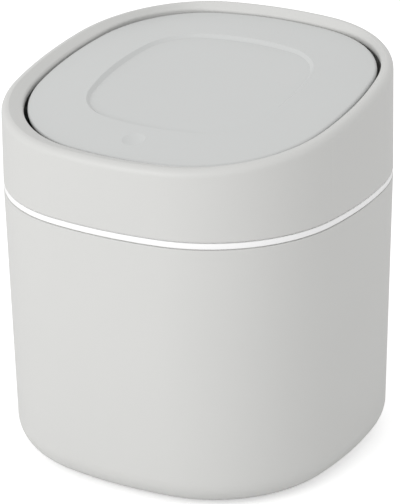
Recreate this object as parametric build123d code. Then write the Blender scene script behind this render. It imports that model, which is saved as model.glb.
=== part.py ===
from build123d import *
from math import atan2, cos, hypot, radians, sin, sqrt, tan
import os

os.makedirs("parts", exist_ok=True)

# Millimetres. Origin at the middle of the base, +Z up, the front (the side that is pressed) towards -Y.
# The lid and all that works it are drawn in the lid's own frame: its X is the part's X, its Z stands
# square to the sloping rim, and its zero is the middle of the lid's edge plane.

# Plan of the body: a square with bowed sides and wide corners
half_width = 77.5
half_depth = 77.0
side_radius = 174.0
corner_radius = 60.0

# Bin body
body_height = 117.2
body_draft = 0.8
body_wall = 2.0
floor_thickness = 2.4
base_edge_radius = 12.5
seam_round = 0.5

# Feet
foot_radius = 8.0
foot_spread = 40.0
foot_show = 0.8
foot_recess = 0.8
foot_fit = 0.1

# Bag ring
ring_band = 3.3
ring_web = 1.6
ring_skirt = 22.0
ring_spigot = 8.5
ring_fit = 0.35
ring_inset = 0.25

# Head cover
rim_height = 160.7
rim_slope = 8.5
head_draft = 0.75
head_wall = 2.2
lip_width = 3.4
lip_round = 3.0
rim_drop = 3.15
rim_fall = 2.8
rim_roll = 1.5
rim_shell = 2.2
pocket_depth = 6.6
attic_shell = 2.6
boss_sink = 0.2

# Lid
lid_centre_y = 2.1
lid_side_margin = 8.9
lid_end_margin = 8.7
lid_side_radius = 158.0
lid_front_share = 0.795
lid_back_share = 0.682
lid_edge = 2.0
lid_edge_round = 1.2
lid_crown = 2.5
lid_gap = 1.3
lid_back_gap = 0.8
front_corner_ease = 1.5
back_corner_ease = 4.0
recess_half_width = 43.0
recess_half_length = 43.5
recess_side_radius = 110.0
recess_corner = 25.0
recess_floor = 0.1
recess_slope_width = 3.0
recess_slope_height = 2.4
dimple_from_front = 13.5
dimple_radius = 4.8
dimple_depth = 0.8

# Lid liner, the tray under the lid
liner_inset = 8.0
liner_depth = 4.4
liner_wall = 1.6
liner_floor = 1.6

# Lid screws and the bosses that they enter
lid_screw_x = 38.0
lid_screw_setback = 1.2
lid_boss_radius = 2.8
lid_pilot = 0.4
lid_screw_play = 0.2

# Hinge
hinge_inset = 26.0
hinge_z = -4.2
pin_radius = 1.0
pin_fit = 0.05
pin_half_length = 38.0
lug_radius = 2.2
lug_inner = 24.0
lug_width = 6.5
lug_root = 2.0
ear_gap = 0.6
ear_width = 3.4
ear_radius = 1.95
clip_radius = 1.9
clip_width = 0.8
clip_fit = 0.02
clip_play = 0.3
bay_half_width = 40.0
bay_wall = 3.0

# Hinge springs
spring_middle = 19.5
spring_length = 5.6
spring_inner = 1.3
spring_wire = 0.7
spring_reach = 12.0
spring_play = 0.3
leg_radius = 0.32

# Hinge bracket
bracket_plate = 2.0
bracket_drop = 21.0
bracket_front = 3.0
flange_height = 11.0
flange_setback = 16.5
boss_radius = 4.0
bracket_screw_x = 22.0
bracket_screw_bite = 2.6
bracket_pilot = 3.0

# Striker
striker_half = 8.5
striker_half_depth = 4.0
striker_plate = 1.2
striker_stem = 1.2
striker_head = 2.6
striker_head_height = 3.0
striker_thickness = 4.6
striker_reach = 3.5
striker_pad = 0.5
striker_pad_depth = 5.0
striker_screw_x = 6.0
striker_screw_bite = 2.6
striker_pilot = 2.8

# Latch housing
latch_inset = 17.0
latch_top = -13.0
latch_width = 13.0
latch_depth = 11.0
latch_height = 27.0
latch_wall = 1.9
latch_flange = 2.0
latch_flange_half = 14.0
latch_boss_x = 9.0
latch_boss_outset = 5.5
latch_boss_radius = 3.2
latch_screw_bite = 6.0
latch_pilot = 7.0

# Latch plunger and jaws
plunger_fit = 0.25
plunger_length = 13.0
plunger_gap = 0.5
track_depth = 1.3
track_end = 1.0
jaw_seat = 3.0
jaw_lift = 0.05
jaw_thickness = 1.2
jaw_play = 0.35
jaw_hook = 1.0
jaw_clearance = 0.2
jaw_gap = 0.1

# Latch spring and the wire that runs in the plunger's track
latch_spring_outer = 2.8
latch_spring_wire = 0.7
cam_wire = 0.5
cam_slot_half = 0.8
cam_start = 1.0
cam_length = 8.0
cam_margin = 0.6
cam_reach = 0.9

# Screws
screw_radius = 1.3
screw_head_radius = 2.4
screw_head_height = 1.3
small_screw_radius = 0.9
small_screw_head = 1.6
small_head_height = 0.8
screw_fit = 0.05

# How far a cutter runs past a face
spare = 1.0

# Sizes worked out from the ones above
slope = radians(rim_slope)
beyond = rim_height + half_depth
seat_height = body_height + ring_band
lid_plane_height = rim_height + lid_centre_y * tan(slope) - rim_drop / cos(slope)
lid_up = (0, -sin(slope), cos(slope))
lid_place = Plane(origin=(0, lid_centre_y, lid_plane_height), x_dir=(1, 0, 0), z_dir=lid_up)
lid_half_width = half_width - lid_side_margin
lid_half_length = half_depth - lid_end_margin
lid_half_mean = (lid_half_width + lid_half_length) / 2
lid_front_corner = lid_front_share * lid_half_mean
lid_back_corner = lid_back_share * lid_half_mean
crown_radius = lid_half_width**2 / (2 * lid_crown)
shelf_low = rim_drop - rim_fall
liner_bottom = -lid_edge - liner_depth
hinge_y = lid_half_length - hinge_inset
flange_y = hinge_y + flange_setback
bay_front = hinge_y - lug_radius - bay_wall
lid_screw_y = bay_front - lid_boss_radius - lid_screw_setback
lid_screw_places = [(sx * lid_screw_x, sy * lid_screw_y) for sx in (-1, 1) for sy in (-1, 1)]
ear_start = lug_inner + lug_width + ear_gap
ear_end = ear_start + ear_width
bracket_base = hinge_z - bracket_drop
bracket_screw_z = bracket_base - flange_height / 2
striker_low = latch_top - striker_reach
striker_seat = liner_bottom - striker_plate
latch_y = latch_inset - lid_half_length
latch_boss_y = -lid_half_length - latch_boss_outset
latch_bottom = latch_top - latch_height
latch_back = latch_y + latch_depth / 2
bore_half_x = latch_width / 2 - latch_wall
bore_half_y = latch_depth / 2 - latch_wall
plunger_half_y = bore_half_y - plunger_fit
plunger_top = striker_low - plunger_gap
plunger_bottom = plunger_top - plunger_length
jaw_outer = bore_half_x - plunger_fit
jaw_inner = jaw_outer - jaw_thickness
cam_low = plunger_bottom + cam_start
cam_high = cam_low + cam_length


def corner_centre(half_x, half_y, side_r, corner_r):
    """Centre of the corner arc that runs smoothly into both bowed sides."""
    ax, by, reach = half_x - side_r, half_y - side_r, side_r - corner_r
    span = hypot(ax, by)
    rise = sqrt(reach**2 - (span / 2) ** 2)
    return ax / 2 - by / span * rise, by / 2 - ax / span * rise


def corner_arc(half_x, half_y, side_r, corner_r):
    """Start, middle and end of the corner arc in the first quarter."""
    cx, cy = corner_centre(half_x, half_y, side_r, corner_r)
    on_side = atan2(cy, cx - (half_x - side_r))
    on_end = atan2(cy - (half_y - side_r), cx)
    mid = (on_side + on_end) / 2
    start = (half_x - side_r + side_r * cos(on_side), side_r * sin(on_side))
    middle = (cx + corner_r * cos(mid), cy + corner_r * sin(mid))
    end = (side_r * cos(on_end), half_y - side_r + side_r * sin(on_end))
    return start, middle, end


def outline(half_x, half_y, side_r, front_r, back_r=None, middle_y=0.0):
    """Closed face of eight arcs: four bowed sides and four wide corners."""
    front = corner_arc(half_x, half_y, side_r, front_r)
    back = corner_arc(half_x, half_y, side_r, front_r if back_r is None else back_r)

    def place(point, sx, sy):
        return (sx * point[0], sy * point[1] + middle_y)

    arcs = []
    for a, b, c in (
        (place(front[0], 1, -1), (half_x, middle_y), place(back[0], 1, 1)),
        (place(back[0], 1, 1), place(back[1], 1, 1), place(back[2], 1, 1)),
        (place(back[2], 1, 1), (0, middle_y + half_y), place(back[2], -1, 1)),
        (place(back[2], -1, 1), place(back[1], -1, 1), place(back[0], -1, 1)),
        (place(back[0], -1, 1), (-half_x, middle_y), place(front[0], -1, -1)),
        (place(front[0], -1, -1), place(front[1], -1, -1), place(front[2], -1, -1)),
        (place(front[2], -1, -1), (0, middle_y - half_y), place(front[2], 1, -1)),
        (place(front[2], 1, -1), place(front[1], 1, -1), place(front[0], 1, -1)),
    ):
        arcs.append(ThreePointArc(a, b, c))
    return Face(Wire(arcs))


def plan(inset, height):
    """The body's plan drawn in by an inset, at a height."""
    face = outline(half_width - inset, half_depth - inset, side_radius - inset, corner_radius - inset)
    return face.moved(Location((0, 0, height)))


def between(low_face, high_face):
    """Solid ruled between the outlines of two faces."""
    return Solid.make_loft([low_face.outer_wire(), high_face.outer_wire()], True)


def drawn(low, high, inset_low, inset_high):
    """Solid between two plans."""
    return between(plan(inset_low, low), plan(inset_high, high))


def body_inset(height):
    """How far the draft of the bin body draws its wall in at a height."""
    return (body_height - height) * tan(radians(body_draft))


def head_inset(height):
    """How far the draft of the head draws its wall in at a height."""
    return (height - seat_height) * tan(radians(head_draft))


def lid_outline(inset, height):
    """The lid's outline drawn in by an inset, in the lid's frame."""
    face = outline(
        lid_half_width - inset,
        lid_half_length - inset,
        lid_side_radius - inset,
        lid_front_corner - inset,
        lid_back_corner - inset,
    )
    return face.moved(Location((0, 0, height)))


def recess_outline(inset, height):
    """The outline of the lid's sunk field, drawn in by an inset, in the lid's frame."""
    face = outline(
        recess_half_width - inset,
        recess_half_length - inset,
        recess_side_radius - inset,
        recess_corner - inset,
    )
    return face.moved(Location((0, 0, height)))


def pocket_outline(grow, height):
    """The hole in the rim that the lid sits in: its tighter corners leave the swinging lid room."""
    add = lid_gap + grow
    face = outline(
        lid_half_width + add,
        lid_half_length + (lid_gap + lid_back_gap) / 2 + grow,
        lid_side_radius + add,
        lid_front_corner - front_corner_ease + add,
        lid_back_corner - back_corner_ease + add,
        middle_y=(lid_back_gap - lid_gap) / 2,
    )
    return face.moved(Location((0, 0, height)))


def crest_outline(inset, height):
    """The head's outer edge at the crest of the rim, drawn in by an inset, in the lid's frame."""
    draft = head_inset(rim_height)
    face = outline(
        half_width - draft - inset,
        (half_depth - draft) / cos(slope) - inset,
        side_radius - draft - inset,
        corner_radius - draft - inset,
        middle_y=-lid_centre_y / cos(slope),
    )
    return face.moved(Location((0, 0, height)))


def in_lid_frame(shape):
    """Moves a shape drawn in the lid's frame to its place in the part."""
    return shape.moved(lid_place.location)


def box(x0, x1, y0, y1, z0, z1):
    """Block between two corners."""
    return Pos((x0 + x1) / 2, (y0 + y1) / 2, (z0 + z1) / 2) * Box(x1 - x0, y1 - y0, z1 - z0)


def post(x, y, z0, z1, radius):
    """Upright cylinder between two heights."""
    return Pos(x, y, (z0 + z1) / 2) * Cylinder(radius, z1 - z0)


def bar_x(x0, x1, y, z, radius):
    """Cylinder along X."""
    return Pos((x0 + x1) / 2, y, z) * Rot(0, 90, 0) * Cylinder(radius, x1 - x0)


def bar_y(x, y0, y1, z, radius):
    """Cylinder along Y."""
    return Pos(x, (y0 + y1) / 2, z) * Rot(90, 0, 0) * Cylinder(radius, y1 - y0)


def upright_screw(x, y, seat, tip, radius, head_radius, head_height):
    """Screw put in from below: its head hangs under the seat."""
    shank = post(x, y, seat, tip, radius - screw_fit)
    head = post(x, y, seat - head_height, seat, head_radius)
    return in_lid_frame((shank + head).solid())


def one_body(shape):
    """The single solid of a shape, or its solids as a group."""
    solids = shape.solids()
    return solids[0] if len(solids) == 1 else Compound(children=solids)


def feet_places():
    """Name and centre of each foot."""
    for side, sx in (("left", -1), ("right", 1)):
        for end, sy in (("front", -1), ("back", 1)):
            yield f"foot_{end}_{side}", sx * foot_spread, sy * foot_spread


def bin_body():
    """Drafted bucket with a wide round at the base and four shallow seats for the feet."""
    outer = drawn(foot_show, body_height, body_inset(foot_show), body_inset(body_height))
    outer = outer.fillet(base_edge_radius, outer.faces().sort_by(Axis.Z)[0].edges())
    outer = outer.fillet(seam_round, outer.faces().sort_by(Axis.Z)[-1].edges())
    floor_top = foot_show + floor_thickness
    high = body_height + spare
    inner = drawn(floor_top, high, body_inset(floor_top) + body_wall, body_inset(high) + body_wall)
    inner = inner.fillet(base_edge_radius - body_wall, inner.faces().sort_by(Axis.Z)[0].edges())
    shell = outer - inner
    for _, x, y in feet_places():
        shell -= post(x, y, foot_show - spare, foot_show + foot_recess, foot_radius + foot_fit)
    return one_body(shell)


def foot(x, y):
    """Soft round foot, half of its height in its seat."""
    return one_body(post(x, y, 0, foot_show + foot_recess, foot_radius))


def bag_ring():
    """White band with a skirt down into the bin and a spigot up into the head."""
    low, top = body_height - ring_skirt, seat_height
    high = top + ring_spigot
    band = drawn(body_height, top, ring_inset, ring_inset)
    edges = band.faces().sort_by(Axis.Z)[0].edges() + band.faces().sort_by(Axis.Z)[-1].edges()
    band = band.fillet(seam_round, edges)
    under = body_wall + ring_fit
    over = head_wall + ring_fit
    skirt = drawn(low, body_height, body_inset(low) + under, under)
    spigot = drawn(top, high, over, head_inset(high) + over)
    ring = Part() + band + skirt + spigot
    bore_low, bore_high = low - spare, high + spare
    ring -= drawn(bore_low, body_height, body_inset(bore_low) + under + ring_web, under + ring_web)
    ring -= drawn(body_height, top, under + ring_web, over + ring_web)
    ring -= drawn(top, bore_high, over + ring_web, head_inset(bore_high) + over + ring_web)
    return one_body(ring)


def above(height):
    """Everything above a plane of the lid's frame."""
    return in_lid_frame(box(-beyond, beyond, -beyond, beyond, height, height + beyond))


def head_hollow(top, wall):
    """Space inside the head up to a plane of the lid's frame."""
    low = seat_height - spare
    return drawn(low, beyond, head_inset(low) + wall, head_inset(beyond) + wall) - above(top)


def pocket():
    """The hole for the lid: a gentle fall from the crest, rolled over into an upright wall."""
    fall = between(pocket_outline(0, shelf_low), crest_outline(lip_width, rim_drop))
    hole = extrude(pocket_outline(0, -pocket_depth), pocket_depth + shelf_low)
    hollow = (Part() + fall + hole).solid()
    fold = [edge for edge in hollow.edges() if abs(edge.center().Z - shelf_low) < 0.01]
    return hollow.fillet(rim_roll, fold)


def head_cover():
    """Upper shell: the sloping rim turns in to a pocket for the lid."""
    head = (Part() + drawn(seat_height, beyond, 0, head_inset(beyond)) - above(rim_drop)).solid()
    crest = [face for face in head.faces() if face.normal_at().dot(lid_place.z_dir) > 0.999][0]
    head = head.fillet(lip_round, crest.edges())
    head = head.fillet(seam_round, head.faces().sort_by(Axis.Z)[0].edges())
    head -= in_lid_frame(pocket())
    head -= head_hollow(-rim_shell, head_wall)
    attic_top = rim_drop - attic_shell
    roof_edge = crest_outline(lip_width, rim_drop - rim_shell)
    roof = Part() + between(pocket_outline(rim_shell, -rim_shell), roof_edge)
    roof += extrude(pocket_outline(rim_shell, -rim_shell - spare), spare)
    head -= head_hollow(attic_top, head_wall) - in_lid_frame(roof)
    bosses = Part()
    for sx in (-1, 1):
        bosses += post(sx * latch_boss_x, latch_boss_y, latch_top, rim_drop - rim_shell, latch_boss_radius)
        bosses += bar_y(sx * bracket_screw_x, flange_y + bracket_plate, beyond, bracket_screw_z, boss_radius)
    head += in_lid_frame(bosses) & head_hollow(attic_top, head_wall - boss_sink)
    for sx in (-1, 1):
        head -= in_lid_frame(
            post(sx * latch_boss_x, latch_boss_y, latch_top - spare, latch_top + latch_pilot, screw_radius)
        )
        pilot_end = flange_y + bracket_plate + bracket_pilot
        head -= in_lid_frame(bar_y(sx * bracket_screw_x, flange_y, pilot_end, bracket_screw_z, screw_radius))
    return one_body(head)


def hinge_bracket():
    """Bent bracket behind the lid: two ears carry the pin, a flange screws to the head's back wall."""
    back = flange_y + bracket_plate
    bracket = Part() + box(
        -ear_end, ear_end, hinge_y - bracket_front, back, bracket_base - bracket_plate, bracket_base
    )
    bracket += box(-ear_end, ear_end, flange_y, back, bracket_base - flange_height, bracket_base)
    for sx in (-1, 1):
        x0, x1 = sorted((sx * ear_start, sx * ear_end))
        ear_low = bracket_base - bracket_plate
        bracket += box(x0, x1, hinge_y - ear_radius, hinge_y + ear_radius, ear_low, hinge_z)
        bracket += bar_x(x0, x1, hinge_y, hinge_z, ear_radius)
        bracket -= bar_x(x0 - spare, x1 + spare, hinge_y, hinge_z, pin_radius + pin_fit)
        bracket -= bar_y(sx * bracket_screw_x, flange_y - spare, back + spare, bracket_screw_z, screw_radius)
    return in_lid_frame(one_body(bracket))


def bracket_screws():
    """Two screws that hold the bracket to the head's bosses."""
    screws = []
    for sx in (-1, 1):
        x = sx * bracket_screw_x
        tip = flange_y + bracket_plate + bracket_screw_bite
        shank = bar_y(x, flange_y, tip, bracket_screw_z, screw_radius - screw_fit)
        head = bar_y(x, flange_y - screw_head_height, flange_y, bracket_screw_z, screw_head_radius)
        screws.append(in_lid_frame((shank + head).solid()))
    return Compound(children=screws)


def hinge_pin():
    """Steel pin through the ears and the liner's lugs."""
    return in_lid_frame(one_body(bar_x(-pin_half_length, pin_half_length, hinge_y, hinge_z, pin_radius)))


def pin_clips():
    """Push-on retaining rings outside the ears."""
    clips = []
    for sx in (-1, 1):
        x0, x1 = sorted((sx * (ear_end + clip_play), sx * (ear_end + clip_play + clip_width)))
        ring = bar_x(x0, x1, hinge_y, hinge_z, clip_radius)
        ring -= bar_x(x0 - spare, x1 + spare, hinge_y, hinge_z, pin_radius + clip_fit)
        clips.append(in_lid_frame(ring.solid()))
    return Compound(children=clips)


def hinge_spring(sx):
    """Torsion spring: a close-wound coil on the pin, one leg under the lid, one on the bracket."""
    x0, x1 = sx * spring_middle - spring_length / 2, sx * spring_middle + spring_length / 2
    coil = bar_x(x0, x1, hinge_y, hinge_z, spring_inner + spring_wire)
    coil -= bar_x(x0 - spare, x1 + spare, hinge_y, hinge_z, spring_inner)
    inner_x, outer_x = (x0 + spring_wire, x1 - spring_wire)[::sx]
    turn = spring_inner + spring_wire / 2
    lid_leg = bar_y(inner_x, hinge_y - spring_reach, hinge_y, hinge_z + turn, leg_radius)
    base_leg = post(outer_x, hinge_y + turn, bracket_base + spring_play, hinge_z, leg_radius)
    return in_lid_frame(one_body(coil + lid_leg + base_leg))


def lid_panel():
    """The lid's top shell: crowned, with a shallow sunk field and a thumb mark at the front."""
    slab = extrude(lid_outline(0, -lid_edge), lid_edge + 2 * lid_crown)
    ball = Pos(0, 0, lid_crown - crown_radius) * Rot(90, 0, 0) * Sphere(crown_radius)
    panel = (Part() + slab & ball).solid()
    panel = panel.fillet(lid_edge_round, panel.faces().sort_by(Axis.Z)[-1].edges())
    half_slope = recess_slope_width / 2
    panel = Part() + panel - between(
        recess_outline(half_slope, recess_floor),
        recess_outline(-half_slope, recess_floor + recess_slope_height),
    )
    mark_radius = (dimple_radius**2 + dimple_depth**2) / (2 * dimple_depth)
    mark_y = -lid_half_length + dimple_from_front
    surface = lid_crown - crown_radius + sqrt(crown_radius**2 - mark_y**2)
    panel -= Pos(0, mark_y, surface + mark_radius - dimple_depth) * Rot(90, 0, 0) * Sphere(mark_radius)
    for x, y in lid_screw_places:
        panel += post(x, y, liner_bottom + liner_floor, -lid_edge, lid_boss_radius)
        panel -= post(x, y, liner_bottom, -lid_edge + lid_pilot, screw_radius)
    return in_lid_frame(one_body(panel))


def lid_liner():
    """Shallow tray that closes the lid from below and holds the hinge lugs and the striker."""
    back = 2 * lid_half_length
    bay_outer = bay_half_width + liner_wall
    tray = Part() + extrude(lid_outline(liner_inset, liner_bottom), liner_depth)
    hollow = extrude(lid_outline(liner_inset + liner_wall, liner_bottom + liner_floor), liner_depth)
    hollow -= box(-bay_outer, bay_outer, bay_front, back, -beyond, beyond)
    tray -= hollow
    tray -= box(-bay_half_width, bay_half_width, bay_front + bay_wall, back, -beyond, beyond)
    for sx in (-1, 1):
        x0, x1 = sorted((sx * lug_inner, sx * (lug_inner + lug_width)))
        tray += box(x0, x1, bay_front + lug_root / 2, hinge_y, liner_bottom, -lid_edge)
        tray += bar_x(x0, x1, hinge_y, hinge_z, lug_radius)
        tray -= bar_x(x0 - spare, x1 + spare, hinge_y, hinge_z, pin_radius + pin_fit)
        slot_half = spring_length / 2 + spring_play
        slot_low = -lid_edge - lug_radius + spring_play
        middle = sx * spring_middle
        tray -= box(middle - slot_half, middle + slot_half, bay_front - spare, hinge_y, slot_low, 0)
    pad_half = striker_half + striker_pad
    pad_y0, pad_y1 = latch_y - striker_pad_depth, latch_y + striker_pad_depth
    tray += box(-pad_half, pad_half, pad_y0, pad_y1, liner_bottom, liner_bottom + 2 * liner_floor)
    for sx in (-1, 1):
        pilot_top = liner_bottom + striker_pilot
        tray -= post(sx * striker_screw_x, latch_y, liner_bottom - spare, pilot_top, small_screw_radius)
    for x, y in lid_screw_places:
        tray -= post(x, y, liner_bottom - spare, 0, screw_radius)
    return in_lid_frame(one_body(tray))


def lid_screws():
    """Four screws that hold the liner to the lid's bosses."""
    tip = -lid_edge - lid_screw_play
    return Compound(
        children=[
            upright_screw(x, y, liner_bottom, tip, screw_radius, screw_head_radius, screw_head_height)
            for x, y in lid_screw_places
        ]
    )


def lid_striker():
    """Arrow-headed catch under the lid."""
    half = striker_thickness / 2
    y0, y1 = latch_y - striker_half_depth, latch_y + striker_half_depth
    catch = Part() + box(-striker_half, striker_half, y0, y1, striker_seat, liner_bottom)
    catch += box(-striker_stem, striker_stem, latch_y - half, latch_y + half, striker_low, striker_seat)
    shoulder = striker_low + striker_head_height
    arrow = Polyline(
        (-striker_head, 0, shoulder),
        (striker_head, 0, shoulder),
        (striker_stem, 0, striker_low),
        (-striker_stem, 0, striker_low),
        close=True,
    )
    catch += Pos(0, latch_y, 0) * extrude(make_face(arrow), half, both=True)
    for sx in (-1, 1):
        hole_low, hole_high = striker_seat - spare, liner_bottom + spare
        catch -= post(sx * striker_screw_x, latch_y, hole_low, hole_high, small_screw_radius)
    return in_lid_frame(one_body(catch))


def striker_screws():
    """Two small screws that hold the striker to the liner."""
    tip = liner_bottom + striker_screw_bite
    sizes = small_screw_radius, small_screw_head, small_head_height
    return Compound(
        children=[
            upright_screw(x, latch_y, striker_seat, tip, *sizes)
            for x in (-striker_screw_x, striker_screw_x)
        ]
    )


def latch_housing():
    """Open-topped case with a flange that screws up under the front of the rim."""
    half_x, half_y = latch_width / 2, latch_depth / 2
    flange_front = latch_boss_y - latch_boss_radius
    flange_low = latch_top - latch_flange
    case = Part() + box(-half_x, half_x, latch_y - half_y, latch_back, latch_bottom, latch_top)
    case += box(-latch_flange_half, latch_flange_half, flange_front, latch_back, flange_low, latch_top)
    bore_y0, bore_y1 = latch_y - bore_half_y, latch_y + bore_half_y
    case -= box(-bore_half_x, bore_half_x, bore_y0, bore_y1, latch_bottom + latch_wall, 0)
    case -= box(-cam_slot_half, cam_slot_half, bore_y1 - spare, latch_back + spare, cam_low, cam_high)
    for sx in (-1, 1):
        case -= post(sx * latch_boss_x, latch_boss_y, flange_low - spare, latch_top + spare, screw_radius)
    return in_lid_frame(one_body(case))


def latch_plunger():
    """Sliding block with the heart-shaped track simplified to its straight leg."""
    half_x = jaw_inner - jaw_gap
    y0, y1 = latch_y - plunger_half_y, latch_y + plunger_half_y
    block = Part() + box(-half_x, half_x, y0, y1, plunger_bottom, plunger_top)
    block += box(-jaw_outer, jaw_outer, y0, y1, plunger_bottom, plunger_bottom + jaw_seat)
    track_low, track_high = cam_low + track_end / 2, plunger_top - track_end
    block -= box(-cam_slot_half, cam_slot_half, y1 - track_depth, y1 + spare, track_low, track_high)
    return in_lid_frame(one_body(block))


def latch_jaw(sx):
    """Springy claw beside the plunger that hooks over the striker's head."""
    y0, y1 = latch_y - plunger_half_y + jaw_clearance, latch_y + plunger_half_y - jaw_clearance
    low = plunger_bottom + jaw_seat + jaw_lift
    hook_low = striker_low + striker_head_height + jaw_clearance
    x0, x1 = sorted((sx * jaw_inner, sx * jaw_outer))
    claw = box(x0, x1, y0, y1, low, hook_low + jaw_hook)
    x0, x1 = sorted((sx * (striker_stem + jaw_play), sx * jaw_outer))
    claw += box(x0, x1, y0, y1, hook_low, hook_low + jaw_hook)
    return in_lid_frame(one_body(claw))


def latch_spring():
    """Coil spring under the plunger, as a plain tube."""
    low = latch_bottom + latch_wall
    tube = post(0, latch_y, low, plunger_bottom, latch_spring_outer)
    tube -= post(0, latch_y, low - spare, plunger_bottom + spare, latch_spring_outer - latch_spring_wire)
    return in_lid_frame(one_body(tube))


def latch_cam_wire():
    """Wire held in the case's slot; its upper end runs in the plunger's track."""
    y_out = latch_back - cam_margin
    y_in = latch_y + plunger_half_y - cam_reach
    high = cam_high - 2 * cam_wire
    wire = post(0, y_out, cam_low + cam_margin - cam_wire, high + cam_wire, cam_wire)
    wire += bar_y(0, y_in, y_out, high, cam_wire)
    return in_lid_frame(one_body(wire))


def latch_screws():
    """Two screws that hold the latch's flange to the bosses under the rim."""
    seat = latch_top - latch_flange
    tip = latch_top + latch_screw_bite
    return Compound(
        children=[
            upright_screw(x, latch_boss_y, seat, tip, screw_radius, screw_head_radius, screw_head_height)
            for x in (-latch_boss_x, latch_boss_x)
        ]
    )


nodes = {
    "bin_body": bin_body(),
    "bag_ring": bag_ring(),
    "head_cover": head_cover(),
    "hinge_bracket": hinge_bracket(),
    "bracket_screws": bracket_screws(),
    "hinge_pin": hinge_pin(),
    "pin_clips": pin_clips(),
    "hinge_spring_left": hinge_spring(-1),
    "hinge_spring_right": hinge_spring(1),
    "lid_panel": lid_panel(),
    "lid_liner": lid_liner(),
    "lid_screws": lid_screws(),
    "lid_striker": lid_striker(),
    "striker_screws": striker_screws(),
    "latch_housing": latch_housing(),
    "latch_plunger": latch_plunger(),
    "latch_jaw_left": latch_jaw(-1),
    "latch_jaw_right": latch_jaw(1),
    "latch_spring": latch_spring(),
    "latch_cam_wire": latch_cam_wire(),
    "latch_screws": latch_screws(),
}
for name, x, y in feet_places():
    nodes[name] = foot(x, y)

for name, shape in nodes.items():
    export_step(shape, f"parts/{name}.step")
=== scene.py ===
# %% [markdown]
# # A small press-lid bin, dressed for its portrait
# The real object is a counter-top bin of thin moulded plastic: a deep body, a white ring that pins the
# bag, a head with a sloping rim, and a crowned lid that sinks a few millimetres into that rim. The CAD
# model already holds every piece at its true size, so this scene never moves one. It adds finishes,
# lamps and a camera, and it swaps a few plain stand-ins, such as the springs, for their real forms.

# %% Load the fixed model
from math import atan2, cos, hypot, pi, radians, sin, sqrt, tan

import bmesh
import bpy
from mathutils import Matrix, Vector


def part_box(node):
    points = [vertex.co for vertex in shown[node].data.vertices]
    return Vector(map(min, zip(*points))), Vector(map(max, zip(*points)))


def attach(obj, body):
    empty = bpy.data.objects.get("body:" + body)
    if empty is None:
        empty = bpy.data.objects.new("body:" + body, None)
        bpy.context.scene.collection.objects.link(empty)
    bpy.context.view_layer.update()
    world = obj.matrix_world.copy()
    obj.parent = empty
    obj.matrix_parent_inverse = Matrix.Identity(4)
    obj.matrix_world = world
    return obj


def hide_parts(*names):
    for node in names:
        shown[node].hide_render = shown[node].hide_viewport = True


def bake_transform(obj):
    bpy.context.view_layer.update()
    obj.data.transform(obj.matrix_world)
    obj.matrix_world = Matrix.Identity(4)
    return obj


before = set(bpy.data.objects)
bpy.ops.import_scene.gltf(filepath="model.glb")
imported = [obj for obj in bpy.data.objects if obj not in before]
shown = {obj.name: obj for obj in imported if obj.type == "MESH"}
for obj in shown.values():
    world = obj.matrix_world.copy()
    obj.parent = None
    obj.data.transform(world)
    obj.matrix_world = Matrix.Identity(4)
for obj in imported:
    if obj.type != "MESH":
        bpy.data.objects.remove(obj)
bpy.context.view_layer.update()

# %% [markdown]
# ## Where the camera stands
# The photograph was taken from about a metre away with a long lens, from the front right and a little
# above, so that the bin's upright edges hardly converge. A long lens far away and a short lens close by
# can frame the same object, but only one of them gives the same convergence, so the distance is set
# first and the lens follows from it. The small roll is the photographer's, and the small shift keeps
# the bin where the frame cuts it.

# %% Stand the camera in place
distance, azimuth, elevation = 1.0645, radians(30.63), radians(22.95)
aim = Vector((0, 0, 0.0760))
towards_camera = Vector(
    (sin(azimuth) * cos(elevation), -cos(azimuth) * cos(elevation), sin(elevation))
)
camera = bpy.data.objects.new("camera", bpy.data.cameras.new("camera"))
bpy.context.scene.collection.objects.link(camera)
camera.data.sensor_width = 36.0
camera.data.lens = 177.1
camera.data.shift_x, camera.data.shift_y = -0.0014, 0.0289
camera.data.clip_start, camera.data.clip_end = 0.1, 20.0
camera.location = aim + distance * towards_camera
roll = Matrix.Rotation(radians(-0.86), 4, "Z")
camera.rotation_euler = (
    (-towards_camera).to_track_quat("-Z", "Y").to_matrix().to_4x4() @ roll
).to_euler()
bpy.context.scene.camera = camera
print("camera", [round(v, 3) for v in camera.location])

# %% [markdown]
# ## Light and ground
# White plastic on white is lit almost from everywhere, or it turns grey on one side. A pale world does
# most of the work, and one wide softbox in front, a little to the left, gives the gentle fall from the
# front to the right side. Several small lamps could do the same, but each would leave its own edge on
# satin plastic. The softbox stays weak enough that the grey plastic keeps its tone and never clips. The
# ground is white to the camera but still takes the soft shadow under the base.

# %% Light the world
bpy.context.scene.view_settings.view_transform = "Standard"
world = bpy.data.worlds.new("studio")
bpy.context.scene.world = world
world.use_nodes = True
air = world.node_tree
soft = air.nodes["Background"]
soft.inputs["Color"].default_value = (1.0, 1.0, 1.0, 1.0)
soft.inputs["Strength"].default_value = 0.785
seen = air.nodes.new("ShaderNodeBackground")
seen.inputs["Color"].default_value = (1.0, 1.0, 1.0, 1.0)
seen.inputs["Strength"].default_value = 1.0
ray = air.nodes.new("ShaderNodeLightPath")
sees_white = ray.outputs["Is Camera Ray"]
for kind in ("Is Transmission Ray", "Is Glossy Ray"):
    either = air.nodes.new("ShaderNodeMath")
    either.operation = "MAXIMUM"
    air.links.new(sees_white, either.inputs[0])
    air.links.new(ray.outputs[kind], either.inputs[1])
    sees_white = either.outputs[0]
choose = air.nodes.new("ShaderNodeMixShader")
air.links.new(sees_white, choose.inputs["Fac"])
air.links.new(soft.outputs[0], choose.inputs[1])
air.links.new(seen.outputs[0], choose.inputs[2])
air.links.new(choose.outputs[0], air.nodes["World Output"].inputs["Surface"])
print("world strength", soft.inputs["Strength"].default_value)

# %% Hang the softbox


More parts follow.
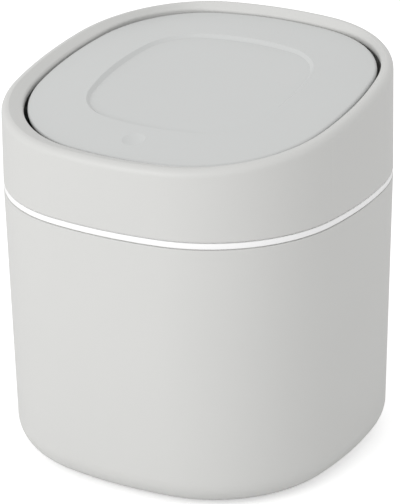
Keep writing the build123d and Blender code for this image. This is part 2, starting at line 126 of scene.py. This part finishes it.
def softbox(name, place, look_at, size, power):
    """A square area lamp that faces a point."""
    lamp = bpy.data.objects.new(name, bpy.data.lights.new(name, "AREA"))
    lamp.data.shape = "SQUARE"
    lamp.data.size = size
    lamp.data.energy = power
    lamp.location = Vector(place)
    lamp.rotation_euler = (Vector(look_at) - Vector(place)).to_track_quat("-Z", "Y").to_euler()
    bpy.context.scene.collection.objects.link(lamp)
    return lamp


softbox("front_left_softbox", place=(-0.62, -1.85, 0.95), look_at=(0, 0, 0.08), size=1.4, power=15.9)

# %% Lay the ground
ground_mesh = bpy.data.meshes.new("ground")
reach = 6.0
ground_mesh.from_pydata(
    [(-reach, -reach, 0), (reach, -reach, 0), (reach, reach, 0), (-reach, reach, 0)], [], [(0, 1, 2, 3)]
)
ground = bpy.data.objects.new("ground", ground_mesh)
bpy.context.scene.collection.objects.link(ground)
paper = bpy.data.materials.new("white_paper")
paper.use_nodes = True
sheet = paper.node_tree
surface = sheet.nodes["Principled BSDF"]
surface.inputs["Base Color"].default_value = (0.88, 0.88, 0.88, 1.0)
surface.inputs["Roughness"].default_value = 0.9
surface.inputs["Specular IOR Level"].default_value = 0.1
glow = sheet.nodes.new("ShaderNodeEmission")
glow.inputs["Strength"].default_value = 0.45
nothing = sheet.nodes.new("ShaderNodeBsdfTransparent")
nothing.inputs["Color"].default_value = (0.0, 0.0, 0.0, 1.0)
path = sheet.nodes.new("ShaderNodeLightPath")
to_camera = sheet.nodes.new("ShaderNodeMixShader")
both = sheet.nodes.new("ShaderNodeAddShader")
sheet.links.new(path.outputs["Is Camera Ray"], to_camera.inputs["Fac"])
sheet.links.new(nothing.outputs[0], to_camera.inputs[1])
sheet.links.new(glow.outputs[0], to_camera.inputs[2])
sheet.links.new(surface.outputs[0], both.inputs[0])
sheet.links.new(to_camera.outputs[0], both.inputs[1])
sheet.links.new(both.outputs[0], sheet.nodes["Material Output"].inputs["Surface"])
ground_mesh.materials.append(paper)
print("ground", reach)

# %% [markdown]
# ## Moulded plastic
# The bin is satin plastic, and its surface comes from the mould: an even, very fine spark-eroded grain,
# faint broad unevenness where the wall shrank, and a tone that drifts by about a hundredth. One
# function makes every plastic here, because they differ only in tone, gloss and grain. The grain reads
# Object coordinates, so it stays put when a piece moves.

# %% Make a moulded plastic


def moulded_plastic(name, tone, roughness, grain=0.00045, depth=0.05, drift=0.012, spread=0.05):
    """Satin plastic with a spark-eroded grain, slow unevenness and a slight drift of tone."""
    shrink_size, grain_height, sink_height = 0.045, 0.00012, 0.0004
    made = bpy.data.materials.new(name)
    made.use_nodes = True
    tree = made.node_tree
    shader = tree.nodes["Principled BSDF"]
    shader.inputs["IOR"].default_value = 1.5
    where = tree.nodes.new("ShaderNodeTexCoord")

    def noise(size, detail):
        texture = tree.nodes.new("ShaderNodeTexNoise")
        texture.inputs["Scale"].default_value = 1.0 / size
        texture.inputs["Detail"].default_value = detail
        tree.links.new(where.outputs["Object"], texture.inputs["Vector"])
        return texture

    slow = noise(shrink_size, 2.0)
    tint = tree.nodes.new("ShaderNodeMix")
    tint.data_type = "RGBA"
    tint.inputs["A"].default_value = [v * (1 - drift) for v in tone] + [1.0]
    tint.inputs["B"].default_value = [min(1.0, v * (1 + drift)) for v in tone] + [1.0]
    tree.links.new(slow.outputs["Fac"], tint.inputs["Factor"])
    tree.links.new(tint.outputs["Result"], shader.inputs["Base Color"])
    fine = noise(grain, 3.0)
    gloss = tree.nodes.new("ShaderNodeMapRange")
    gloss.inputs["To Min"].default_value = roughness - spread
    gloss.inputs["To Max"].default_value = roughness + spread
    tree.links.new(fine.outputs["Fac"], gloss.inputs["Value"])
    tree.links.new(gloss.outputs["Result"], shader.inputs["Roughness"])
    bump = tree.nodes.new("ShaderNodeBump")
    bump.inputs["Strength"].default_value = depth
    bump.inputs["Distance"].default_value = grain_height
    tree.links.new(fine.outputs["Fac"], bump.inputs["Height"])
    sink = tree.nodes.new("ShaderNodeBump")
    sink.inputs["Strength"].default_value = 0.05
    sink.inputs["Distance"].default_value = sink_height
    tree.links.new(slow.outputs["Fac"], sink.inputs["Height"])
    tree.links.new(bump.outputs["Normal"], sink.inputs["Normal"])
    tree.links.new(sink.outputs["Normal"], shader.inputs["Normal"])
    return made


shell_plastic = moulded_plastic("pale_grey_shell", (0.638, 0.638, 0.624), 0.46)
ring_plastic = moulded_plastic("white_ring", (0.97, 0.97, 0.97), 0.38)
lid_plastic = moulded_plastic("pale_grey_lid", (0.602, 0.612, 0.606), 0.38)
liner_plastic = moulded_plastic("plain_inner", (0.60, 0.60, 0.59), 0.52)
latch_plastic = moulded_plastic("slippery_latch", (0.78, 0.78, 0.75), 0.34)
print("plastics", [m.name for m in bpy.data.materials])

# %% [markdown]
# ## Steel and rubber
# The hinge pin is ground, so its grain runs along it; the screws are zinc plated, a soft grey with
# small cloudy crystals; the springs are drawn wire, darker and smoother. One function makes the three,
# with a noise that is stretched along one axis. The feet are soft grey rubber, matte and a little dusty.

# %% Make the steels and the rubber


def worked_steel(name, tone, roughness, stretch, size, depth):
    """Steel whose grain is a noise stretched along one axis, with a gentle change of tone and gloss."""
    made = bpy.data.materials.new(name)
    made.use_nodes = True
    tree = made.node_tree
    shader = tree.nodes["Principled BSDF"]
    shader.inputs["Metallic"].default_value = 1.0
    where = tree.nodes.new("ShaderNodeTexCoord")
    along_grain = tree.nodes.new("ShaderNodeMapping")
    along_grain.inputs["Scale"].default_value = stretch
    grain = tree.nodes.new("ShaderNodeTexNoise")
    grain.inputs["Scale"].default_value = 1.0 / size
    grain.inputs["Detail"].default_value = 4.0
    tree.links.new(where.outputs["Object"], along_grain.inputs["Vector"])
    tree.links.new(along_grain.outputs["Vector"], grain.inputs["Vector"])
    shade = tree.nodes.new("ShaderNodeMix")
    shade.data_type = "RGBA"
    shade.inputs["A"].default_value = [0.86 * v for v in tone] + [1.0]
    shade.inputs["B"].default_value = list(tone) + [1.0]
    tree.links.new(grain.outputs["Fac"], shade.inputs["Factor"])
    tree.links.new(shade.outputs["Result"], shader.inputs["Base Color"])
    gloss = tree.nodes.new("ShaderNodeMapRange")
    gloss.inputs["To Min"].default_value = roughness - 0.08
    gloss.inputs["To Max"].default_value = roughness + 0.08
    tree.links.new(grain.outputs["Fac"], gloss.inputs["Value"])
    tree.links.new(gloss.outputs["Result"], shader.inputs["Roughness"])
    scratch = tree.nodes.new("ShaderNodeBump")
    scratch.inputs["Strength"].default_value = depth
    scratch.inputs["Distance"].default_value = 0.00005
    tree.links.new(grain.outputs["Fac"], scratch.inputs["Height"])
    tree.links.new(scratch.outputs["Normal"], shader.inputs["Normal"])
    return made


pin_steel = worked_steel("ground_pin_steel", (0.66, 0.66, 0.67), 0.26, (0.08, 1.0, 1.0), 0.0004, 0.12)
screw_steel = worked_steel("zinc_plated_steel", (0.60, 0.61, 0.63), 0.36, (1.0, 1.0, 1.0), 0.0009, 0.10)
wire_steel = worked_steel("drawn_wire_steel", (0.46, 0.46, 0.48), 0.30, (1.0, 0.2, 0.2), 0.0003, 0.10)
foot_rubber = moulded_plastic("soft_foot_rubber", (0.30, 0.30, 0.30), 0.82, 0.0007, 0.20, 0.05, 0.08)
print("metals", pin_steel.name, screw_steel.name, wire_steel.name)

# %% [markdown]
# ## Where the lid's own frame sits
# The lid, the hinge and the latch are drawn square to the sloping rim, 8.5 degrees off level. The CAD
# works in that tilted frame and so does this scene: a spring or a screw is made with plain numbers in
# the lid's frame, in millimetres, and one matrix carries its mesh to its place in metres.

# %% Tilt the lid's frame
slope = radians(8.5)
lid_centre_y, lid_plane_height = 2.1, 157.829
millimetres = Matrix.Scale(0.001, 4)
lid_frame = millimetres @ (
    Matrix.Translation((0, lid_centre_y, lid_plane_height)) @ Matrix.Rotation(slope, 4, "X")
)
half_length = 68.3
hinge_y, hinge_z, bracket_base = 42.3, -4.2, -25.2
flange_y, lid_screw_y = 58.8, 33.1
latch_y = 17.0 - half_length
middle = (Vector(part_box("hinge_pin")[0]) + Vector(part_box("hinge_pin")[1])) / 2
print("hinge off by", round((lid_frame @ Vector((0, hinge_y, hinge_z)) - middle).length * 1000, 3), "mm")

# %% [markdown]
# ## Node trees, wired by script
# What repeats or follows a path on this bin is grown by Geometry Nodes: the body and the ring, whose
# walls keep one section all the way round, the wound springs, the screws and the feet. A tree could be
# wired by hand in the editor, but a script can be read and rerun. Three helpers keep it short. The
# first opens a tree with named inputs, the second adds a node and wires its inputs by name, and the
# third ends the tree.

# %% Open a tree and add nodes to it


def open_tree(name, inputs):
    """A Geometry Nodes tree with a geometry in and out and one named input for each size."""
    tree = bpy.data.node_groups.new(name, "GeometryNodeTree")
    tree.interface.new_socket("Geometry", in_out="INPUT", socket_type="NodeSocketGeometry")
    for label, kind in inputs:
        tree.interface.new_socket(label, in_out="INPUT", socket_type="NodeSocket" + kind)
    tree.interface.new_socket("Geometry", in_out="OUTPUT", socket_type="NodeSocketGeometry")
    return tree, tree.nodes.new("NodeGroupInput").outputs


def put(tree, kind, wires, output=0, **settings):
    """Adds a node, feeds each input a number, a socket or several sockets, and returns an output."""
    node = tree.nodes.new(kind)
    for key, value in settings.items():
        setattr(node, key, value)
    for label, value in wires.items():
        feeds = value if isinstance(value, list) else [value]
        for feed in feeds:
            if isinstance(feed, bpy.types.NodeSocket):
                tree.links.new(feed, node.inputs[label])
            else:
                node.inputs[label].default_value = feed
    return node.outputs[output] if node.outputs else None


def close_tree(tree, shape, finish):
    """Ends a tree the way the export needs it: real geometry with a material on it."""
    real = put(tree, "GeometryNodeRealizeInstances", {"Geometry": shape})
    done = put(tree, "GeometryNodeSetMaterial", {"Geometry": real, "Material": finish})
    put(tree, "NodeGroupOutput", {"Geometry": done})
    print("tree", tree.name, "nodes", len(tree.nodes))
    return tree


# %% [markdown]
# ## From tree to plain mesh
# A modifier stays live, but a part that others reuse is better as a plain mesh. So each piece is grown
# once from a seed mesh, the evaluated result is copied, and the modifier goes away. The copy is then
# carried to its place, its doubles are merged, its walls are turned to face outwards, and edges
# sharper than 35 degrees are marked so that smooth shading keeps them crisp.

# %% Grow a piece and keep it as a plain mesh
sharp_from, same_spot = radians(35), 1e-7


def tidy_mesh(mesh, place=None, close=False):
    """Merges doubles, closes open floors if asked, faces the walls outwards and marks sharp edges."""
    if place is not None:
        mesh.transform(place)
    shape = bmesh.new()
    shape.from_mesh(mesh)
    bmesh.ops.remove_doubles(shape, verts=shape.verts, dist=same_spot)
    if close:
        rim = [edge for edge in shape.edges if edge.is_boundary]
        bmesh.ops.holes_fill(shape, edges=rim, sides=0)
    bmesh.ops.recalc_face_normals(shape, faces=shape.faces)
    if shape.calc_volume(signed=True) < 0:
        bmesh.ops.reverse_faces(shape, faces=shape.faces)
    for face in shape.faces:
        face.smooth = True
    for edge in shape.edges:
        edge.smooth = not (edge.is_manifold and edge.calc_face_angle() > sharp_from)
    open_edges = sum(not edge.is_manifold for edge in shape.edges)
    shape.to_mesh(mesh)
    shape.free()
    return open_edges


def grow(name, seed_mesh, tree, sizes, place=None, close=False):
    """Runs a tree on a seed mesh and keeps the result as a plain mesh."""
    piece = bpy.data.objects.new(name, seed_mesh)
    bpy.context.scene.collection.objects.link(piece)
    modifier = piece.modifiers.new("grow", "NODES")
    modifier.node_group = tree
    sockets = {item.name: item.identifier for item in tree.interface.items_tree if item.in_out == "INPUT"}
    for label, value in sizes.items():
        modifier[sockets[label]] = value
    depsgraph = bpy.context.evaluated_depsgraph_get()
    mesh = bpy.data.meshes.new_from_object(piece.evaluated_get(depsgraph), depsgraph=depsgraph)
    piece.modifiers.remove(modifier)
    piece.data = mesh
    mesh.name = name
    open_edges = tidy_mesh(mesh, place, close)
    low, high = box_in_mm(piece)
    print(name, "faces", len(mesh.polygons), "open edges", open_edges, "from", low, "to", high)
    return piece


def box_in_mm(piece):
    """Lowest and highest corner of a piece in millimetres, for the printed notes."""
    spots = [vertex.co * 1000 for vertex in piece.data.vertices]
    extremes = (min, max)
    return tuple([round(pick(spot[axis] for spot in spots), 2) for axis in range(3)] for pick in extremes)


# %% [markdown]
# ## The plan that everything follows
# Seen from above, the bin is a square with bowed sides and wide corners: eight arcs that run smoothly
# into each other. A quarter is three arcs, and mirrors give the rest. Every wall is this plan drawn in
# by some inset, so a wall is one section swept along the plan. The tree builds the plan from named
# sizes and sweeps whatever section the seed mesh holds: its x counts outwards from the plan, and its
# y counts downwards.

# %% Find the arcs of the plan
half_width, half_depth, side_radius, corner_radius = 77.5, 77.0, 174.0, 60.0
across, along = half_width - side_radius, half_depth - side_radius
span = hypot(across, along)
rise = sqrt((side_radius - corner_radius) ** 2 - (span / 2) ** 2)
corner = Vector((across / 2 - along / span * rise, along / 2 - across / span * rise, 0))
side_end = atan2(corner.y, corner.x - across)
corner_end = atan2(corner.y - along, corner.x)
plan_arcs = {
    "Side": (side_radius, 0.0, side_end, Vector((across, 0, 0)), 14),
    "Corner": (corner_radius, side_end, corner_end, corner, 40),
    "End": (side_radius, corner_end, pi / 2, Vector((0, along, 0)), 14),
}
print("corner arc", round((corner_end - side_end) * 180 / pi, 1), "degrees")

# %% Build the tree that sweeps a section along the plan
arc_inputs = [("Radius", "Float"), ("Start", "Float"), ("Sweep", "Float")]
arc_inputs += [("Centre", "Vector"), ("Points", "Int")]
sweep_inputs = [(f"{arc} {label}", kind) for arc in plan_arcs for label, kind in arc_inputs]
sweep, given = open_tree("swept_along_plan", sweep_inputs + [("Finish", "Material")])
quarter = []
for arc in plan_arcs:
    bow = put(
        sweep,
        "GeometryNodeCurveArc",
        {
            "Resolution": given[f"{arc} Points"],
            "Radius": given[f"{arc} Radius"],
            "Start Angle": given[f"{arc} Start"],
            "Sweep Angle": given[f"{arc} Sweep"],
        },
        mode="RADIUS",
    )
    quarter.append(
        put(sweep, "GeometryNodeTransform", {"Geometry": bow, "Translation": given[f"{arc} Centre"]})
    )
quarter = put(sweep, "GeometryNodeJoinGeometry", {"Geometry": quarter})
quarters = [
    put(sweep, "GeometryNodeTransform", {"Geometry": quarter, "Scale": (flip_x, flip_y, 1)})
    for flip_x in (1, -1)
    for flip_y in (1, -1)
]
loose = put(sweep, "GeometryNodeJoinGeometry", {"Geometry": quarters})
loose = put(sweep, "GeometryNodeCurveToMesh", {"Curve": loose})
ends_met = put(sweep, "GeometryNodeMergeByDistance", {"Geometry": loose, "Distance": 0.01})
loop = put(sweep, "GeometryNodeMeshToCurve", {"Mesh": ends_met})
upright = put(sweep, "GeometryNodeSetCurveNormal", {"Curve": loop}, mode="Z_UP")
section = put(sweep, "GeometryNodeMeshToCurve", {"Mesh": given["Geometry"]})
wall = put(sweep, "GeometryNodeCurveToMesh", {"Curve": upright, "Profile Curve": section})
close_tree(sweep, wall, given["Finish"])
plan_sizes = {}
for arc, (radius, start, stop, centre, points) in plan_arcs.items():
    values = (radius, start, stop - start, tuple(centre), points)
    for (label, _), value in zip(arc_inputs, values):
        plan_sizes[f"{arc} {label}"] = value

# %% [markdown]
# ## The bin's wall and floor
# The body is a thin moulded bucket. Its wall leans in by 0.8 degrees towards the base, so that it
# leaves the mould, and its base is rolled over with a wide 12.5 mm round. One section, drawn from the
# underside up the outside, over the rim and down the inside, gives all of that in a single sweep. The
# two flat floors are what is left open, and they are closed afterwards.

# %% Draw a section


def bend(centre_x, centre_z, radius, from_angle, to_angle, steps=8):
    """Points on a round of a section; angles in degrees, with 0 outwards and 90 up."""
    angles = [radians(from_angle + (to_angle - from_angle) * k / steps) for k in range(steps + 1)]
    return [(centre_x + radius * cos(a), centre_z + radius * sin(a)) for a in angles]


def section_mesh(name, points, closed):
    """A section as a line of edges: x outwards from the plan, and the height as minus y."""
    mesh = bpy.data.meshes.new(name)
    count = len(points)
    edges = [(k, (k + 1) % count) for k in range(count if closed else count - 1)]
    mesh.from_pydata([(out, -height, 0) for out, height in points], edges, [])
    return mesh


# %% Sweep the bin body
seam_height, lean = 117.2, tan(radians(0.8))
base_height, wall_thickness, floor_thickness = 0.8, 2.0, 2.4
base_round, seam_round, inner_ease = 12.5, 0.5, 0.3
low_out = -(seam_height - base_height) * lean
floor_top = base_height + floor_thickness
low_in = -(seam_height - floor_top) * lean - wall_thickness
inner_round = base_round - wall_thickness
body_section = (
    bend(low_out - base_round, base_height + base_round, base_round, -90, 0, 24)
    + bend(-seam_round, seam_height - seam_round, seam_round, 0, 90, 6)
    + bend(-wall_thickness + inner_ease, seam_height - inner_ease, inner_ease, 90, 180, 4)
    + bend(low_in - inner_round, floor_top + inner_round, inner_round, 0, -90, 16)
)
bin_shell = grow(
    "bin_shell",
    section_mesh("body_section", body_section, closed=False),
    sweep,
    {**plan_sizes, "Finish": shell_plastic},
    millimetres,
    close=True,
)
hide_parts("bin_body")
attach(bin_shell, "bin")

# %% [markdown]
# ## The white bag ring
# The ring is the one bright line on the bin. Only its 3.3 mm band shows, but a skirt reaches down into
# the bin to pin the bag and a spigot reaches up into the head. Its section is a closed loop this time,
# so the sweep needs no caps. Real bins leave a hair of shadow above and below the band, so that the
# joint looks meant, and the section steps in there. The edges that slide into their neighbours get a
# small lead-in, as moulded rims have.

# %% Sweep the bag ring
band_top, skirt_low, spigot_top = 120.5, 95.2, 129.0
band_out, under, over, web = -0.25, -2.35, -2.55, 1.6
low_shadow, high_shadow, shadow_out, band_round = 0.4, 0.42, -1.2, 0.35
lead_in, bore_lead_in, spigot_draft = 0.5, 0.4, tan(radians(0.75))
skirt_lean, spigot_lean = (seam_height - skirt_low) * lean, (spigot_top - band_top) * spigot_draft
ring_section = (
    bend(under - skirt_lean - lead_in, skirt_low + lead_in, lead_in, -90, 0, 4)
    + [(under, seam_height), (shadow_out, seam_height), (shadow_out, seam_height + low_shadow)]
    + bend(band_out - band_round, seam_height + low_shadow + band_round, band_round, -90, 0, 6)
    + bend(band_out - band_round, band_top - high_shadow - band_round, band_round, 0, 90, 6)
    + [(shadow_out, band_top - high_shadow), (shadow_out, band_top), (over, band_top)]
    + bend(over - spigot_lean - lead_in, spigot_top - lead_in, lead_in, 0, 90, 4)
    + bend(over - spigot_lean - web + bore_lead_in, spigot_top - bore_lead_in, bore_lead_in, 90, 180, 4)
    + [(over - web, band_top), (under - web, seam_height)]
    + bend(under - skirt_lean - web + bore_lead_in, skirt_low + bore_lead_in, bore_lead_in, 180, 270, 4)
)
white_ring = grow(
    "white_ring",
    section_mesh("ring_section", ring_section, closed=True),
    sweep,
    {**plan_sizes, "Finish": ring_plastic},
    millimetres,
)
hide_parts("bag_ring")
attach(white_ring, "ring")

# %% [markdown]
# ## Turned and moulded rounds
# A screw and a rubber foot are both turned shapes: a profile spun round an axis. The profile of a
# screw's shank zigzags, so its crests read as a thread at a fraction of a real helix's faces, and the
# driver's cross is pressed into the head by lowering the points that lie on it. One such template is
# then set out as often as it is needed.

# %% Turn a profile into a mesh


def turned(name, profile, steps=32, pressed=0, depth=0.0):
    """Spins (radius, height) points round Z; the last few rings dip on the four arms of a cross."""
    shape = bmesh.new()
    rings = []
    for number, (radius, height) in enumerate(profile):
        if radius == 0:
            rings.append([shape.verts.new((0, 0, height))])
            continue
        spots = []
        for k in range(steps):
            off_arm = min(k % (steps // 4), -k % (steps // 4))
            dip = depth if off_arm <= 1 and number >= len(profile) - pressed else 0.0
            turn = 2 * pi * k / steps
            spots.append(shape.verts.new((radius * cos(turn), radius * sin(turn), height + dip)))
        rings.append(spots)
    for low, high in zip(rings, rings[1:]):
        for k in range(steps):
            below = [low[k % len(low)], low[(k + 1) % len(low)]]
            above = [high[(k + 1) % len(high)], high[k % len(high)]]
            shape.faces.new(list(dict.fromkeys(below + above)))
    mesh = bpy.data.meshes.new(name)
    shape.to_mesh(mesh)
    shape.free()
    return mesh


def screw_mesh(name, radius, length, head_radius, head_height):
    """A pan-head screw whose seat is at zero: the shank points up and the head hangs below."""
    pitch, tip = radius * 0.75, radius * 0.9
    profile = [(0.0, length), (radius * 0.5, length - tip * 0.5)]
    height = length - tip
    while height > pitch * 1.2:
        profile += [(radius, height), (radius * 0.8, height - pitch / 2)]
        height -= pitch
    profile += [(radius * 0.85, 0.0), (head_radius * 0.98, 0.0), (head_radius, -0.15 * head_height)]
    dome = [(0.95, 0.6), (0.82, 0.88), (0.62, 0.97), (0.55, 1.0), (0.38, 1.0), (0.18, 1.0)]
    profile += [(head_radius * out, -head_height * down) for out, down in dome]
    profile.append((0.0, -0.45 * head_height))
    return turned(name, profile, pressed=3, depth=0.55 * head_height)


print("helpers", turned.__name__, screw_mesh.__name__)

# %% [markdown]
# ## Setting pieces out on a grid
# Every fastener group here stands on a small grid: four lid screws, four feet, pairs for the rest.
# The tree takes the template as its seed, lays a grid of points, turns each copy by a seeded random
# angle, as screws end up wherever they bit, tilts the whole set to its face, and makes it real.

# %% Build the tree that sets pieces out
grid_inputs = [("Columns", "Int"), ("Rows", "Int"), ("Spread X", "Float"), ("Spread Y", "Float")]
grid_inputs += [("Place", "Vector"), ("Tilt", "Float"), ("Turn Seed", "Int"), ("Finish", "Material")]
set_out, given = open_tree("set_out_on_a_grid", grid_inputs)
grid = put(
    set_out,
    "GeometryNodeMeshGrid",
    {
        "Size X": given["Spread X"],
        "Size Y": given["Spread Y"],
        "Vertices X": given["Columns"],
        "Vertices Y": given["Rows"],
    },
)
spots = put(set_out, "GeometryNodeMergeByDistance", {"Geometry": grid, "Distance": 0.01})
turn_by = put(
    set_out,
    "FunctionNodeRandomValue",
    {"Min": (0.0, 0.0, 0.0), "Max": (0.0, 0.0, 2 * pi), "Seed": given["Turn Seed"]},
    data_type="FLOAT_VECTOR",
)
copies = put(
    set_out,
    "GeometryNodeInstanceOnPoints",
    {"Points": spots, "Instance": given["Geometry"], "Rotation": turn_by},
)
tilt = put(set_out, "ShaderNodeCombineXYZ", {"X": given["Tilt"]})
placed = put(
    set_out,
    "GeometryNodeTransform",
    {"Geometry": copies, "Translation": given["Place"], "Rotation": tilt},
)
close_tree(set_out, placed, given["Finish"])

# %% Drive the screws
under_liner, under_striker = (0, 0, -6.4), (0, latch_y, -7.6)
under_latch, under_flange = (0, -half_length - 5.5, -15.0), (0, flange_y, bracket_base - 5.5)
screw_kinds = {
    # name: (radius, length, head radius, head height,
    #        columns, rows, spread x, spread y, place in the lid's frame, tilt, body)
    "lid_screws": (1.25, 4.2, 2.4, 1.3, 2, 2, 76.0, 2 * lid_screw_y, under_liner, 0.0, "lid"),
    "striker_screws": (0.85, 3.8, 1.6, 0.8, 2, 1, 12.0, 0.0, under_striker, 0.0, "lid"),
    "latch_screws": (1.25, 8.0, 2.4, 1.3, 2, 1, 18.0, 0.0, under_latch, 0.0, "head"),
    "bracket_screws": (1.25, 4.6, 2.4, 1.3, 2, 1, 44.0, 0.0, under_flange, -pi / 2, "head"),
}
for seed, (node, sizes) in enumerate(screw_kinds.items(), start=3):
    *form, columns, rows, spread_x, spread_y, place, tilt_angle, body = sizes
    driven = grow(
        f"driven_{node}",
        screw_mesh(f"one_of_{node}", *form),
        set_out,
        {
            "Columns": columns,
            "Rows": rows,
            "Spread X": spread_x,
            "Spread Y": spread_y,
            "Place": place,
            "Tilt": tilt_angle,
            "Turn Seed": seed,
            "Finish": screw_steel,
        },
        lid_frame,
    )
    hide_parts(node)
    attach(driven, body)

# %% [markdown]
# ## The rubber feet
# Four soft pads keep a pressed bin from sliding. Each is a low button pressed into a shallow seat,
# with an eased rim, a slightly hollow sole and one moulded ring that helps it grip.

# %% Set out the feet
foot_profile = [(0.0, 1.6), (7.9, 1.6), (8.0, 1.5), (8.0, 0.5), (7.85, 0.18), (7.5, 0.0)]
foot_profile += [(6.2, 0.0), (6.0, 0.18), (5.6, 0.18), (5.4, 0.0), (4.6, 0.0), (4.2, 0.22), (0.0, 0.25)]
soft_feet = grow(
    "soft_feet",
    turned("one_foot", foot_profile, steps=48),
    set_out,
    {
        "Columns": 2,
        "Rows": 2,
        "Spread X": 80.0,
        "Spread Y": 80.0,
        "Place": (0.0, 0.0, 0.0),
        "Tilt": 0.0,
        "Turn Seed": 11,
        "Finish": foot_rubber,
    },
    millimetres,
)
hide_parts(*[f"foot_{end}_{side}" for end in ("front", "back") for side in ("left", "right")])
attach(soft_feet, "bin")

# %% [markdown]
# ## The wound springs
# Two torsion springs sit on the hinge pin and throw the lid open, and a small compression spring
# pushes the latch's plunger. The CAD holds them as plain tubes. Here a spiral node winds the real coil,
# the straight legs come from the seed mesh, and one round profile turns both into wire. A coil is wound
# from the spiral's X axis, so each spring only needs the place and the turn of that spiral.

# %% Build the tree that winds a wire
wire_inputs = [("Turns", "Float"), ("Mean Radius", "Float"), ("Length", "Float"), ("Reverse", "Bool")]
wire_inputs += [("Place", "Vector"), ("Turn", "Vector"), ("Wire Radius", "Float"), ("Finish", "Material")]
wind, given = open_tree("wound_wire", wire_inputs)
coil = put(
    wind,
    "GeometryNodeCurveSpiral",
    {
        "Resolution": 28,
        "Rotations": given["Turns"],
        "Start Radius": given["Mean Radius"],
        "End Radius": given["Mean Radius"],
        "Height": given["Length"],
        "Reverse": given["Reverse"],
    },
)
coil = put(
    wind,
    "GeometryNodeTransform",
    {"Geometry": coil, "Translation": given["Place"], "Rotation": given["Turn"]},
)
legs = put(wind, "GeometryNodeMeshToCurve", {"Mesh": given["Geometry"]})
centre_line = put(wind, "GeometryNodeJoinGeometry", {"Geometry": [coil, legs]})
round_wire = put(
    wind, "GeometryNodeCurvePrimitiveCircle", {"Resolution": 10, "Radius": given["Wire Radius"]}
)
wire = put(
    wind,
    "GeometryNodeCurveToMesh",
    {"Curve": centre_line, "Profile Curve": round_wire, "Fill Caps": True},
)
close_tree(wind, wire, given["Finish"])


def legs_mesh(name, lines):
    """Straight or bent legs as edges, each a list of points in the lid's frame."""
    mesh = bpy.data.meshes.new(name)
    points = [point for line in lines for point in line]
    starts = [sum(len(line) for line in lines[:k]) for k in range(len(lines))]
    edges = [(start + k, start + k + 1) for start, line in zip(starts, lines) for k in range(len(line) - 1)]
    mesh.from_pydata(points, edges, [])
    return mesh


# %% Wind the two hinge springs
coil_radius, coil_length, coil_turns, coil_middle = 1.65, 4.9, 6.25, 19.5
wire_radius, wire_off_seat, lid_leg_length = 0.34, 0.35, 12.0
for side, sx in (("left", -1), ("right", 1)):
    inner_x, outer_x = sx * (coil_middle - coil_length / 2), sx * (coil_middle + coil_length / 2)
    back_of_coil = hinge_y + coil_radius
    base_leg = [(outer_x, back_of_coil, hinge_z), (outer_x, back_of_coil, bracket_base + wire_off_seat)]
    top_of_coil = hinge_z + coil_radius
    lid_leg = [(inner_x, hinge_y, top_of_coil), (inner_x, hinge_y - lid_leg_length, top_of_coil)]
    coil_turn = Matrix(((0, 0, sx), (0, -sx, 0), (1, 0, 0))).to_euler()
    wound = {
        "Turns": coil_turns,
        "Mean Radius": coil_radius,
        "Length": coil_length,
        "Reverse": sx < 0,
        "Place": (inner_x, hinge_y, hinge_z),
        "Turn": tuple(coil_turn),
        "Wire Radius": wire_radius,
        "Finish": wire_steel,
    }
    coiled = grow(f"hinge_coil_{side}", legs_mesh("base_leg", [base_leg]), wind, wound, lid_frame)
    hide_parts(f"hinge_spring_{side}")
    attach(coiled, "pivot")
    leg = grow(
        f"hinge_leg_{side}",
        legs_mesh("lid_leg", [lid_leg]),
        wind,
        {**wound, "Turns": 0.02, "Length": 0.0},
        lid_frame,
    )
    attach(leg, "lid")

# %% Wind the latch spring
spring_low, spring_high, latch_coil_radius, latch_coil_turns, stub_length = -38.1, -30.0, 2.45, 7.5, 0.4
first_turn = spring_low + wire_off_seat
stub = [(latch_coil_radius, latch_y, first_turn), (latch_coil_radius, latch_y - stub_length, first_turn)]
latch_coil = grow(
    "latch_coil",
    legs_mesh("latch_stub", [stub]),
    wind,
    {
        "Turns": latch_coil_turns,
        "Mean Radius": latch_coil_radius,
        "Length": spring_high - spring_low - 2 * wire_off_seat,
        "Reverse": False,
        "Place": (0.0, latch_y, first_turn),
        "Turn": (0.0, 0.0, 0.0),
        "Wire Radius": wire_radius,
        "Finish": wire_steel,
    },
    lid_frame,
)
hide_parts("latch_spring")
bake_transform(latch_coil)

# %% [markdown]
# ## Dressing the rest
# The remaining CAD pieces already have their true shape, so they keep their mesh and only take a
# finish: the head and the lid in satin plastic, the hidden mouldings plainer, and the small steel parts
# in steel.

# %% Dress the CAD nodes


def dress(node, material):
    """Gives a CAD node its finish, and leaves its mesh alone."""
    mesh = shown[node].data
    mesh.materials.clear()
    mesh.materials.append(material)


dress("head_cover", shell_plastic)
dress("lid_panel", lid_plastic)
for node in ("lid_liner", "hinge_bracket"):
    dress(node, liner_plastic)
for node in ("latch_housing", "latch_plunger", "latch_jaw_left", "latch_jaw_right"):
    dress(node, latch_plastic)
for node in ("hinge_pin", "pin_clips", "lid_striker"):
    dress(node, pin_steel)
dress("latch_cam_wire", wire_steel)
print("dressed", len([o for o in shown.values() if o.data.materials]))
